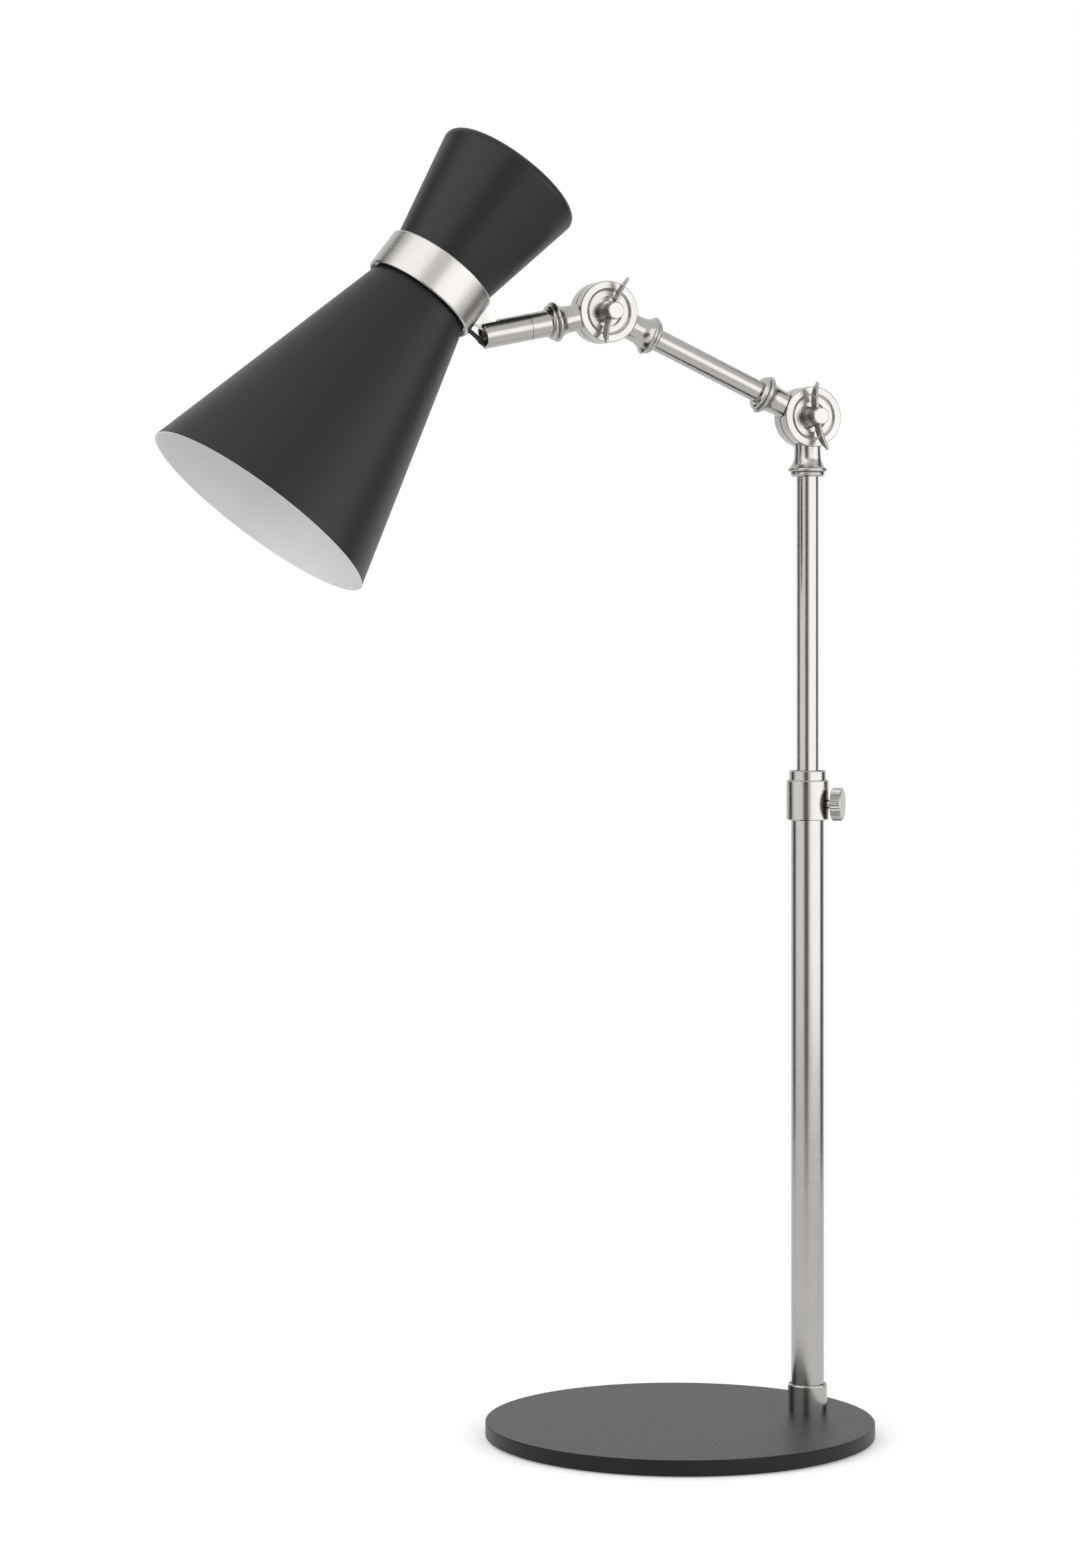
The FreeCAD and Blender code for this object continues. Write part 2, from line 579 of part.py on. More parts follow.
def wing_nut(turn):
    """A wing nut on the Y axis, its wings turned from the vertical towards +X."""
    base, face, edge = -(NUT_WASHER_FACE + GAP), -HUB_FACE, HUB_ROUND
    flange = -(DISC_FACE + HUB_FLANGE_PROUD)
    hub = spun([
        (0, base), (HUB_FLANGE_RADIUS, base), (HUB_FLANGE_RADIUS, flange),
        (HUB_RADIUS, flange), (HUB_RADIUS, face + edge),
        (round_corner(HUB_RADIUS, face, edge, 1, -1), (HUB_RADIUS - edge, face)),
        (0, face)], V(0, 1, 0))
    upper = wing_blade()
    lower = upper.copy()
    lower.rotate(V(0, 0, 0), V(0, 1, 0), 180)
    nut = hub.fuse(upper).fuse(lower)
    nut = nut.cut(along_y(BOLT_RADIUS + RUNNING_FIT, -(HUB_FACE - HUB_CAP), 0))
    nut.rotate(V(0, 0, 0), V(0, 1, 0), turn)
    return nut


def at_both_knuckles(shape):
    """The same small piece at both ends of the arm, turned with the arm, as separate solids."""
    return Part.makeCompound([swing(shape, LOWER_AXIS, ARM_FROM_LOWER), swing(shape, UPPER_AXIS, ARM_FROM_UPPER)])


# ---------------------------------------------------------------- arm and spur
ARM_FROM_LOWER = 90 + ARM_RISE       # turns a neck that points down to run along the arm
ARM_FROM_UPPER = ARM_RISE - 90
SPUR_SWING = 90 - SPUR_DROP


def make_arm_tube():
    tube = ring(
        UPPER_TUBE_RADIUS, UPPER_TUBE_RADIUS - UPPER_TUBE_WALL,
        -(ARM_LENGTH - NECK_SOCKET_START), -NECK_SOCKET_START)
    return swing(tube, LOWER_AXIS, ARM_FROM_LOWER)


def on_spur(shape):
    """Places a shape made down -Z from the upper knuckle onto the spur."""
    return swing(shape, UPPER_AXIS, SPUR_SWING)


def make_spur_stub():
    return on_spur(ring(SPUR_RADIUS, SPINDLE_RADIUS, -(NECK_LENGTH + STUB_LENGTH), -NECK_LENGTH))


def make_swivel_spindle():
    end = BEARING_END + SPINDLE_TAIL
    return on_spur(ring(SPINDLE_RADIUS, SPINDLE_BORE_RADIUS, -end, -NECK_SOCKET_START))


def make_spindle_clip():
    near = BEARING_END + GAP
    return on_spur(ring(SPINDLE_RADIUS + CLIP_PROUD, SPINDLE_RADIUS, -(near + CLIP_THICKNESS), -near))


def make_spur_sleeve():
    sleeve = spun([
        (SPINDLE_RADIUS + RUNNING_FIT, -SLEEVE_START), (SPUR_RADIUS, -SLEEVE_START),
        (SPUR_RADIUS, -SLEEVE_END), (SLEEVE_BORE_RADIUS, -SLEEVE_END),
        (SLEEVE_BORE_RADIUS, -BEARING_END), (SPINDLE_RADIUS + RUNNING_FIT, -BEARING_END)])
    half = NOTCH_WIDTH / 2
    notch = block((-SPUR_RADIUS - 1, 0), (-half, half), (-SLEEVE_END - 1, -(SLEEVE_END - NOTCH_LENGTH)))
    return on_spur(sleeve.cut(notch))


def make_tilt_fork():
    low, high = -(PIVOT_REACH + FORK_END), -(PIVOT_REACH - FORK_START)
    fork = cylinder(SLEEVE_BORE_RADIUS, low, high)
    half = TONGUE_THICKNESS / 2 + GAP
    fork = fork.cut(block((-20, 20), (-half, half), (low - 1, high - FORK_WEB)))
    fork = fork.cut(block((FORK_FLAT, 20), (-20, 20), (low - 1, high + 1)))
    notch = NOTCH_WIDTH / 2
    fork = fork.cut(block((-20, 1.0 - SLEEVE_BORE_RADIUS), (-notch, notch),
                          (low - 1, high + 1)))
    return on_spur(fork.cut(pin_solid(PIN_RADIUS)))


def pin_solid(radius):
    pin = along_y(radius, -PIN_HALF_LENGTH, PIN_HALF_LENGTH)
    pin.translate(V(0, 0, -PIVOT_REACH))
    return pin


def make_tilt_pin():
    return on_spur(pin_solid(PIN_RADIUS))


# ---------------------------------------------------------------- shade
def on_shade(shape):
    """Places a shape made on the shade's own axes: Z up the shade, X towards the spur."""
    return swing(shape, MOUTH_CENTRE, SHADE_TILT)


LOWER_SLOPE = (WAIST_RADIUS - MOUTH_RADIUS) / LOWER_CONE_LENGTH
UPPER_SLOPE = (CONE_END_RADIUS - WAIST_RADIUS) / UPPER_CONE_LENGTH


def cone_radius(height):
    """The shade's outer radius at a height above its mouth, without the rounded top corner."""
    if height <= WAIST:
        return MOUTH_RADIUS + LOWER_SLOPE * height
    return WAIST_RADIUS + UPPER_SLOPE * (height - WAIST)


def bracket_slot():
    half = TONGUE_THICKNESS / 2 + GAP
    return block((0, BAND_RADIUS + 2), (-half, half), (PLATE_HIGH, WAIST + BAR_TOP_RISE + GAP))


def lead_hole(radius):
    hole = along_x(radius, SOCKET_RADIUS, BAND_RADIUS + 3)
    hole.translate(V(0, LEAD_Y, LEAD_ENTRY))
    return hole


def waist_screw_places(radius, low, high):
    holes = []
    for degrees in WAIST_SCREW_ANGLES:
        angle = math.radians(degrees)
        centre = (WAIST_SCREW_CIRCLE * math.cos(angle), WAIST_SCREW_CIRCLE * math.sin(angle))
        holes.append(cylinder(radius, low, high, centre))
    return holes


def make_lower_shade():
    wall = SHADE_WALL * math.sqrt(1 + LOWER_SLOPE ** 2)
    shell = spun([
        (MOUTH_RADIUS - wall, 0), (MOUTH_RADIUS, 0), (WAIST_RADIUS, WAIST),
        (WAIST_FLANGE_RADIUS, WAIST), (WAIST_FLANGE_RADIUS, WAIST - SHADE_WALL),
        (cone_radius(WAIST - SHADE_WALL) - wall, WAIST - SHADE_WALL)])
    for hole in waist_screw_places(WAIST_SCREW_RADIUS, WAIST - 5, WAIST + 5):
        shell = shell.cut(hole)
    return on_shade(shell.cut(lead_hole(LEAD_RADIUS + GAP)))


def make_upper_shade():
    top = WAIST + UPPER_CONE_LENGTH
    lean = math.atan(UPPER_SLOPE)
    wall = SHADE_WALL / math.cos(lean)
    outer, inner = SHOULDER_ROUND, SHOULDER_ROUND - SHADE_WALL
    centre_height = top - outer
    centre_radius = cone_radius(centre_height) - outer / math.cos(lean)
    middle = (math.pi / 2 - lean) / 2

    def on_round(size, angle):
        return (centre_radius + size * math.cos(angle), centre_height + size * math.sin(angle))

    shell = spun([
        (WAIST_FLANGE_RADIUS, WAIST), (WAIST_RADIUS, WAIST), on_round(outer, -lean),
        (on_round(outer, middle), (centre_radius, top)),
        (0, top), (0, top - SHADE_WALL), (centre_radius, top - SHADE_WALL),
        (on_round(inner, middle), on_round(inner, -lean)),
        (cone_radius(WAIST + SHADE_WALL) - wall, WAIST + SHADE_WALL),
        (WAIST_FLANGE_RADIUS, WAIST + SHADE_WALL)])
    for hole in waist_screw_places(WAIST_SCREW_RADIUS, WAIST - 5, WAIST + 5):
        shell = shell.cut(hole)
    return on_shade(shell.cut(bracket_slot()))


def make_waist_band():
    """The band's wall, and a flange a little inside each end that rests on the cones."""
    low, high, edge = WAIST + BAND_LOW, WAIST + BAND_LOW + BAND_WIDTH, BAND_ROUND
    inner = BAND_RADIUS - BAND_WALL
    lower, upper = low + BAND_LIP, high - BAND_LIP
    band = spun([
        (inner, low), (BAND_RADIUS - edge, low),
        (round_corner(BAND_RADIUS, low, edge, 1, -1), (BAND_RADIUS, low + edge)),
        (BAND_RADIUS, high - edge),
        (round_corner(BAND_RADIUS, high, edge, 1, 1), (BAND_RADIUS - edge, high)),
        (inner, high), (inner, upper), (cone_radius(upper), upper),
        (cone_radius(upper - BAND_WALL), upper - BAND_WALL), (inner, upper - BAND_WALL),
        (inner, lower + BAND_WALL), (cone_radius(lower + BAND_WALL), lower + BAND_WALL),
        (cone_radius(lower), lower), (inner, lower)])
    return on_shade(band.cut(bracket_slot()).cut(lead_hole(BUSHING_RADIUS)))


def make_shade_bracket():
    """The bar from the socket plate, through the band's slot, to the tapered tongue on the tilt pin."""
    half_tip, half_root = TONGUE_TIP_RADIUS, TONGUE_WIDTH / 2
    root, pivot, middle = BAND_RADIUS, PIVOT_RADIUS, BRACKET_MIDDLE
    edges = [
        Part.LineSegment(V(root, 0, middle + half_root), V(pivot, 0, middle + half_tip)).toShape(),
        Part.Arc(V(pivot, 0, middle + half_tip), V(pivot + half_tip, 0, middle),
                 V(pivot, 0, middle - half_tip)).toShape(),
        Part.LineSegment(V(pivot, 0, middle - half_tip), V(root, 0, middle - half_root)).toShape(),
        Part.LineSegment(V(root, 0, middle - half_root), V(root, 0, middle + half_root)).toShape()]
    tongue = Part.Face(Part.Wire(edges)).extrude(V(0, TONGUE_THICKNESS, 0))
    tongue.translate(V(0, -TONGUE_THICKNESS / 2, 0))
    half = TONGUE_THICKNESS / 2
    bar = block((BAR_INNER_RADIUS, root + 1), (-half, half), (PLATE_HIGH, WAIST + BAR_TOP_RISE))
    foot_half = BRACKET_FOOT_WIDTH / 2
    foot = block((0, root + BRACKET_FOOT_THICKNESS), (-BRACKET_FOOT_SPAN / 2, BRACKET_FOOT_SPAN / 2),
                 (middle - foot_half, middle + foot_half))
    foot = foot.cut(cylinder(root, middle - 20, middle + 20))
    hole = along_y(PIN_RADIUS + RUNNING_FIT, -TONGUE_THICKNESS, TONGUE_THICKNESS)
    hole.translate(V(pivot, 0, middle))
    bracket = bar.fuse(tongue.cut(cylinder(root, middle - 20, middle + 20))).fuse(foot).cut(hole)
    return on_shade(bracket.cut(bracket_screw_shank()))


def bracket_screw_shank():
    return cylinder(BRACKET_SCREW_RADIUS, PLATE_LOW, PLATE_HIGH + BRACKET_SCREW_REACH, (BRACKET_SCREW_CIRCLE, 0))


def make_bracket_screw():
    head = cylinder(BRACKET_SCREW_HEAD_RADIUS, PLATE_LOW - BRACKET_SCREW_HEAD_HEIGHT, PLATE_LOW,
                    (BRACKET_SCREW_CIRCLE, 0))
    return on_shade(head.fuse(bracket_screw_shank()))


# ---------------------------------------------------------------- socket and lead
def make_socket_plate():
    plate = ring(PLATE_RIM_RADIUS, NIPPLE_RADIUS, PLATE_LOW, PLATE_HIGH)
    for degrees in VENT_ANGLES:
        angle = math.radians(degrees)
        plate = plate.cut(cylinder(VENT_RADIUS, PLATE_LOW - 1, PLATE_HIGH + 1,
                                   (VENT_CIRCLE * math.cos(angle), VENT_CIRCLE * math.sin(angle))))
    for hole in waist_screw_places(WAIST_SCREW_RADIUS, PLATE_LOW - 1, PLATE_HIGH + 1):
        plate = plate.cut(hole)
    return on_shade(plate.cut(bracket_screw_shank()))


def make_waist_screws():
    heads = waist_screw_places(WAIST_SCREW_HEAD_RADIUS, PLATE_HIGH, PLATE_HIGH + WAIST_SCREW_HEAD_HEIGHT)
    shanks = waist_screw_places(WAIST_SCREW_RADIUS, PLATE_HIGH - WAIST_SCREW_LENGTH, PLATE_HIGH)
    return on_shade(Part.makeCompound([head.fuse(shank) for head, shank in zip(heads, shanks)]))


SOCKET_TOP = PLATE_LOW - SOCKET_HANG
SOCKET_MOUTH = SOCKET_TOP - SOCKET_LENGTH
SOCKET_CEILING = SOCKET_TOP - SOCKET_ROOF


def make_socket_body():
    edge = 1.5
    body = spun([
        (SOCKET_BORE_RADIUS, SOCKET_MOUTH), (SOCKET_RADIUS - edge, SOCKET_MOUTH),
        (round_corner(SOCKET_RADIUS, SOCKET_MOUTH, edge, 1, -1), (SOCKET_RADIUS, SOCKET_MOUTH + edge)),
        (SOCKET_RADIUS, SOCKET_TOP - edge),
        (round_corner(SOCKET_RADIUS, SOCKET_TOP, edge, 1, 1), (SOCKET_RADIUS - edge, SOCKET_TOP)),
        (SOCKET_BOSS_RADIUS, SOCKET_TOP), (SOCKET_BOSS_RADIUS, PLATE_LOW),
        (NIPPLE_RADIUS, PLATE_LOW), (NIPPLE_RADIUS, PLATE_LOW - SOCKET_NIPPLE_DEPTH),
        (0, PLATE_LOW - SOCKET_NIPPLE_DEPTH), (0, SOCKET_CEILING), (SOCKET_BORE_RADIUS, SOCKET_CEILING)])
    return on_shade(body)


def make_socket_shell():
    low = SOCKET_MOUTH + SHELL_INSET
    return on_shade(ring(SOCKET_BORE_RADIUS, SOCKET_BORE_RADIUS - SHELL_WALL, low, low + SHELL_LENGTH))


def make_socket_contact():
    high = SOCKET_CEILING
    stem = cylinder(CONTACT_RADIUS / 2, high - 2.4, high)
    return on_shade(stem.fuse(cylinder(CONTACT_RADIUS, high - 2.4 - CONTACT_THICKNESS, high - 2.4)))


def make_socket_nipple():
    return on_shade(ring(NIPPLE_RADIUS, NIPPLE_BORE_RADIUS, PLATE_LOW - SOCKET_NIPPLE_DEPTH,
                         PLATE_LOW + SOCKET_NIPPLE_RISE))


def make_socket_nut():
    nut = hexagon(NUT_FLATS, PLATE_HIGH, PLATE_HIGH + SOCKET_NUT_HEIGHT)
    return on_shade(nut.cut(cylinder(NIPPLE_RADIUS, PLATE_HIGH - 1, PLATE_HIGH + SOCKET_NUT_HEIGHT + 1)))


def spur_point(reach, drop):
    """A point by its reach along the spur from the upper knuckle and its depth below the spur's axis."""
    along = rise_point(UPPER_AXIS, reach, 180 + SPUR_DROP)
    below = rise_point(along, drop, 180 + SPUR_DROP + 90)
    return V(below.x, LEAD_Y, below.z)


def shade_point(radius, height):
    """A point by its distance from the shade's axis, towards the spur, and its height above the mouth."""
    point = MOUTH_CENTRE + SHADE_OUT * radius + SHADE_UP * height
    return V(point.x, LEAD_Y, point.z)


def lead_route():
    end = BEARING_END + SPINDLE_TAIL
    return [
        spur_point(end - 5.0, 0), spur_point(end + 0.8, 0), spur_point(end + 4.0, LEAD_DROP),
        spur_point(SLEEVE_END + 1.2, LEAD_DROP), shade_point(BAND_RADIUS + 7.0, LEAD_ENTRY),
        shade_point(SOCKET_RADIUS, LEAD_ENTRY)]


def rounded_path(points):
    """Straight runs joined by tangent arcs, each as large as its two runs allow."""
    edges = []
    here = points[0]
    for before, corner, after in zip(points, points[1:], points[2:]):
        back, on = before - corner, after - corner
        run = 0.45 * min(back.Length, on.Length)
        back.normalize()
        on.normalize()
        start, finish = corner + back * run, corner + on * run
        half_turn = (math.pi - back.getAngle(on)) / 2
        radius = run / math.tan(half_turn)
        inward = back + on
        inward.normalize()
        middle = corner + inward * (radius / math.cos(half_turn) - radius)
        edges.append(Part.LineSegment(here, start).toShape())
        edges.append(Part.Arc(start, middle, finish).toShape())
        here = finish
    edges.append(Part.LineSegment(here, points[-1]).toShape())
    return Part.Wire(edges)


def make_lamp_lead():
    points = lead_route()
    path = rounded_path(points)
    section = Part.Wire([Part.Circle(points[0], points[1] - points[0], LEAD_RADIUS).toShape()])
    lead = path.makePipeShell([section], True, False)
    socket_side = swing(cylinder(SOCKET_RADIUS, WAIST - 20, WAIST), MOUTH_CENTRE, SHADE_TILT)
    lead = lead.cut(socket_side)
    return lead


def make_lead_bushing():
    inner = BAND_RADIUS - BAND_WALL
    body = along_x(BUSHING_RADIUS, inner - BUSHING_PROUD, BAND_RADIUS + BUSHING_PROUD)
    body.translate(V(0, LEAD_Y, LEAD_ENTRY))
    return on_shade(body.cut(lead_hole(LEAD_RADIUS)))


NODES = {
    "base_plate": make_base_plate,
    "base_pad": make_base_pad,
    "cord_grommet": make_cord_grommet,
    "foot_nipple": make_foot_nipple,
    "foot_washer": make_foot_washer,
    "foot_nut": make_foot_nut,
    "foot_plug": make_foot_plug,
    "post_ferrule": make_post_ferrule,
    "lower_tube": make_lower_tube,
    "clamp_collar": make_clamp_collar,
    "collar_cap": make_collar_cap,
    "guide_sleeve": make_guide_sleeve,
    "retaining_rings": make_retaining_rings,
    "upper_tube": make_upper_tube,
    "pressure_pad": make_pressure_pad,
    "thumbscrew": make_thumbscrew,
    "post_knuckle": lambda: swing(knuckle_front(UPPER_TUBE_RADIUS), LOWER_AXIS, 0),
    "arm_lower_knuckle": lambda: swing(knuckle_rear(UPPER_TUBE_RADIUS), LOWER_AXIS, ARM_FROM_LOWER),
    "arm_tube": make_arm_tube,
    "arm_upper_knuckle": lambda: swing(knuckle_rear(UPPER_TUBE_RADIUS), UPPER_AXIS, ARM_FROM_UPPER),
    "spur_knuckle": lambda: on_spur(knuckle_front(SPINDLE_RADIUS)),
    "knuckle_bolts": lambda: at_both_knuckles(knuckle_bolt()),
    "friction_washers": lambda: at_both_knuckles(friction_washer()),
    "lower_nut_washer": lambda: swing(nut_washer(), LOWER_AXIS, 0),
    "upper_nut_washer": lambda: swing(nut_washer(), UPPER_AXIS, 0),
    "lower_wing_nut": lambda: swing(wing_nut(LOWER_WING_TURN), LOWER_AXIS, 0),
    "upper_wing_nut": lambda: swing(wing_nut(UPPER_WING_TURN), UPPER_AXIS, 0),
    "spur_stub": make_spur_stub,
    "swivel_spindle": make_swivel_spindle,
    "spindle_clip": make_spindle_clip,
    "spur_sleeve": make_spur_sleeve,
    "tilt_fork": make_tilt_fork,
    "tilt_pin": make_tilt_pin,
    "shade_bracket": make_shade_bracket,
    "bracket_screw": make_bracket_screw,
    "waist_band": make_waist_band,
    "lower_shade": make_lower_shade,
    "upper_shade": make_upper_shade,
    "socket_plate": make_socket_plate,
    "waist_screws": make_waist_screws,
    "socket_body": make_socket_body,
    "socket_shell": make_socket_shell,
    "socket_contact": make_socket_contact,
    "socket_nipple": make_socket_nipple,
    "socket_nut": make_socket_nut,
    "lamp_lead": make_lamp_lead,
    "lead_bushing": make_lead_bushing,
}


def main():
    os.makedirs("parts", exist_ok=True)
    for name, make in NODES.items():
        shape = make()
        shape.exportStep("parts/" + name + ".step")
        print(name, "solids", len(shape.Solids), "volume", round(shape.Volume, 1), "valid", shape.isValid())


main()
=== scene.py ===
"""Materials, studio and camera for the adjustable desk lamp. Metres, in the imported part's frame."""
import json
import math

import bpy
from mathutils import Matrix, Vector


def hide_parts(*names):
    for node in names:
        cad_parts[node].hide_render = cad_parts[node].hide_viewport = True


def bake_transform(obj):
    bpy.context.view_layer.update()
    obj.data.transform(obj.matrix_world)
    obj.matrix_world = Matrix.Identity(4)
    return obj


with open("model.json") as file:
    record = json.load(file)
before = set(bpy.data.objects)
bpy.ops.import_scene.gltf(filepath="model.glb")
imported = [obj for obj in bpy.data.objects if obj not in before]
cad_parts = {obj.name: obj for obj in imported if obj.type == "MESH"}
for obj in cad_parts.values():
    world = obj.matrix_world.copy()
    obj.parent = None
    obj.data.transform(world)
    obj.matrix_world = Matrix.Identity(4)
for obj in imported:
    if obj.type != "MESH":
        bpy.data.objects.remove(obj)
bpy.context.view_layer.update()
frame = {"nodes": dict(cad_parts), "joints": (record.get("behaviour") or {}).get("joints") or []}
nodes = frame["nodes"]
joints = {joint["name"]: joint for joint in frame["joints"]}

# ---------------------------------------------------------------- places on the lamp
UP = Vector((0, 0, 1))
POST = Vector(joints["post_swivel"]["pos_m"])
LOWER_AXIS = Vector(joints["arm_tilt"]["pos_m"])
UPPER_AXIS = Vector(joints["spur_tilt"]["pos_m"])
PIVOT = Vector(joints["shade_tilt"]["pos_m"])
ARM_LINE = (UPPER_AXIS - LOWER_AXIS).normalized()
SPUR_LINE = Vector(joints["sleeve_swivel"]["axis"]).normalized()
SCREW_LINE = Vector(joints["thumbscrew_turn"]["axis"]).normalized()
SCREW_POINT = Vector(joints["thumbscrew_turn"]["pos_m"])
SHADE_TILT = math.radians(38.05)
SHADE_LINE = Vector((math.sin(SHADE_TILT), 0, math.cos(SHADE_TILT)))
SHADE_OUT = Vector((math.cos(SHADE_TILT), 0, -math.sin(SHADE_TILT)))
WAIST = 0.160
BAND_RADIUS = 0.0335
MOUTH_RADIUS = 0.0703
WAIST_RADIUS = 0.0280
UPPER_RADIUS = 0.0445
UPPER_HEIGHT = 0.0825
TOP_FLANGE = 0.0050           # the upper cone is black all through this near its top
LOWER_SKIN = 0.00028          # the white starts this far inside each cone's face
UPPER_SKIN = 0.0004
THREAD_PITCH = 0.0036
PIVOT_STANDOFF = 0.0138
BRACKET_RISE = 0.0058
MOUTH = PIVOT - SHADE_OUT * (BAND_RADIUS + PIVOT_STANDOFF) - SHADE_LINE * (WAIST + BRACKET_RISE)


# ---------------------------------------------------------------- node helpers
class Graph:
    """A material's node tree with short calls for the nodes that the finishes share."""

    def __init__(self, name):
        self.material = bpy.data.materials.new(name)
        self.material.use_nodes = True
        self.tree = self.material.node_tree
        self.shader = self.tree.nodes["Principled BSDF"]
        self.coords = self.add("ShaderNodeTexCoord")

    def add(self, kind, **settings):
        node = self.tree.nodes.new(kind)
        for key, value in settings.items():
            setattr(node, key, value)
        return node

    def put(self, source, socket):
        """Links an output to a socket, or sets the socket when the source is a plain value."""
        if isinstance(source, bpy.types.NodeSocket):
            self.tree.links.new(source, socket)
        else:
            socket.default_value = source

    def math(self, operation, first, second=0.0, third=0.0):
        node = self.add("ShaderNodeMath", operation=operation)
        for socket, value in zip(node.inputs, (first, second, third)):
            self.put(value, socket)
        return node.outputs[0]

    def vector(self, operation, first, second=(0, 0, 0)):
        node = self.add("ShaderNodeVectorMath", operation=operation)
        self.put(first, node.inputs[0])
        self.put(second, node.inputs[1])
        return node.outputs["Value"] if operation in ("DOT_PRODUCT", "LENGTH") else node.outputs[0]

    def noise(self, vector, scale, detail=2.0, rough=0.5):
        """Noise at a vector, or over the piece's own box when the vector is None."""
        node = self.add("ShaderNodeTexNoise")
        if vector is not None:
            self.put(vector, node.inputs["Vector"])
        node.inputs["Scale"].default_value = scale
        node.inputs["Detail"].default_value = detail
        node.inputs["Roughness"].default_value = rough
        return node.outputs["Fac"]

    def remap(self, value, low, high, start=0.0, end=1.0):
        node = self.add("ShaderNodeMapRange")
        self.put(value, node.inputs["Value"])
        for key, setting in (("From Min", low), ("From Max", high), ("To Min", start), ("To Max", end)):
            node.inputs[key].default_value = setting
        return node.outputs["Result"]

    def blend(self, amount, first, second):
        node = self.add("ShaderNodeMix", data_type="RGBA")
        self.put(amount, node.inputs["Factor"])
        self.put(first, node.inputs[6])
        self.put(second, node.inputs[7])
        return node.outputs[2]

    def bump(self, height, distance, strength=1.0):
        node = self.add("ShaderNodeBump")
        node.inputs["Strength"].default_value = strength
        node.inputs["Distance"].default_value = distance
        self.put(height, node.inputs["Height"])
        self.put(node.outputs["Normal"], self.shader.inputs["Normal"])

    def from_axis(self, point, line):
        """The position's height along a line and its distance from it, in object space."""
        position = self.vector("SUBTRACT", self.coords.outputs["Object"], tuple(point))
        height = self.vector("DOT_PRODUCT", position, tuple(line))
        scaled = self.add("ShaderNodeVectorMath", operation="SCALE")
        scaled.inputs[0].default_value = tuple(line)
        self.put(height, scaled.inputs["Scale"])
        radial = self.vector("SUBTRACT", position, scaled.outputs[0])
        return height, radial, self.vector("LENGTH", radial)


def grey(value, warm=0.0):
    """A grey with a little more red and less blue where warm is above 0."""
    return (value * (1 + warm), value, value * (1 - 1.4 * warm), 1)


# ---------------------------------------------------------------- finishes
RING_DENSITY = 2600.0         # how fast the brushed rings change along the axis
ROUND_SPREAD = 1.2            # and how little they change round it


def brushed_nickel(name, point, line, tone=0.41, rough=0.19, grain=1.0):
    """Nickel turned and brushed round an axis: fine rings, and highlights drawn out along the axis."""
    g = Graph(name)
    height, radial, distance = g.from_axis(point, line)
    direction = g.vector("NORMALIZE", radial)
    stretched = g.vector("MULTIPLY", direction, (ROUND_SPREAD,) * 3)
    offset = g.add("ShaderNodeVectorMath", operation="SCALE")
    offset.inputs[0].default_value = tuple(Vector(line) * RING_DENSITY)
    g.put(height, offset.inputs["Scale"])
    rings = g.vector("ADD", stretched, offset.outputs[0])
    fine = g.noise(rings, 1.0, 3.0, 0.62)
    broad = g.noise(g.coords.outputs["Object"], 38.0, 2.0)
    mixed = g.math("MULTIPLY_ADD", fine, 0.75, g.math("MULTIPLY", broad, 0.25))
    colour = g.blend(g.remap(mixed, 0.25, 0.75), grey(tone * 0.90, 0.035), grey(tone * 1.06, 0.03))
    g.put(colour, g.shader.inputs["Base Color"])
    g.put(g.remap(mixed, 0.2, 0.8, rough - 0.05 * grain, rough + 0.07 * grain), g.shader.inputs["Roughness"])
    g.shader.inputs["Metallic"].default_value = 1.0
    g.shader.inputs["Anisotropic"].default_value = 0.55
    crossed = g.vector("CROSS_PRODUCT", tuple(line), g.coords.outputs["Normal"])
    turned = g.add("ShaderNodeVectorTransform", vector_type="VECTOR")
    turned.convert_from = "OBJECT"
    turned.convert_to = "WORLD"
    g.put(crossed, turned.inputs[0])
    g.put(turned.outputs[0], g.shader.inputs["Tangent"])
    g.bump(fine, 0.00002 * grain, 0.3)
    return g.material


def cast_nickel(name, tone=0.43, rough=0.22):
    """Cast pieces, tumbled and plated: smooth, with soft clouds and faint fine marks."""
    g = Graph(name)
    broad = g.noise(g.coords.outputs["Object"], 90.0, 3.0)
    fine = g.noise(g.coords.outputs["Object"], 1500.0, 2.0)
    colour = g.blend(g.remap(broad, 0.3, 0.7), grey(tone * 0.88, 0.035), grey(tone * 1.05, 0.03))
    g.put(colour, g.shader.inputs["Base Color"])
    g.put(g.remap(broad, 0.25, 0.75, rough - 0.04, rough + 0.08), g.shader.inputs["Roughness"])
    g.shader.inputs["Metallic"].default_value = 1.0
    g.bump(g.math("MULTIPLY_ADD", fine, 0.3, broad), 0.00012, 0.25)
    return g.material


def plain_steel(name, tone=0.5, rough=0.35):
    """Zinc-plated inner steel."""
    g = Graph(name)
    spots = g.noise(g.coords.outputs["Object"], 260.0, 3.0)
    colour = g.blend(g.remap(spots, 0.3, 0.7), grey(tone * 0.85), grey(tone * 1.1))
    g.put(colour, g.shader.inputs["Base Color"])
    g.put(g.remap(spots, 0.3, 0.7, rough - 0.06, rough + 0.1), g.shader.inputs["Roughness"])
    g.shader.inputs["Metallic"].default_value = 1.0
    return g.material


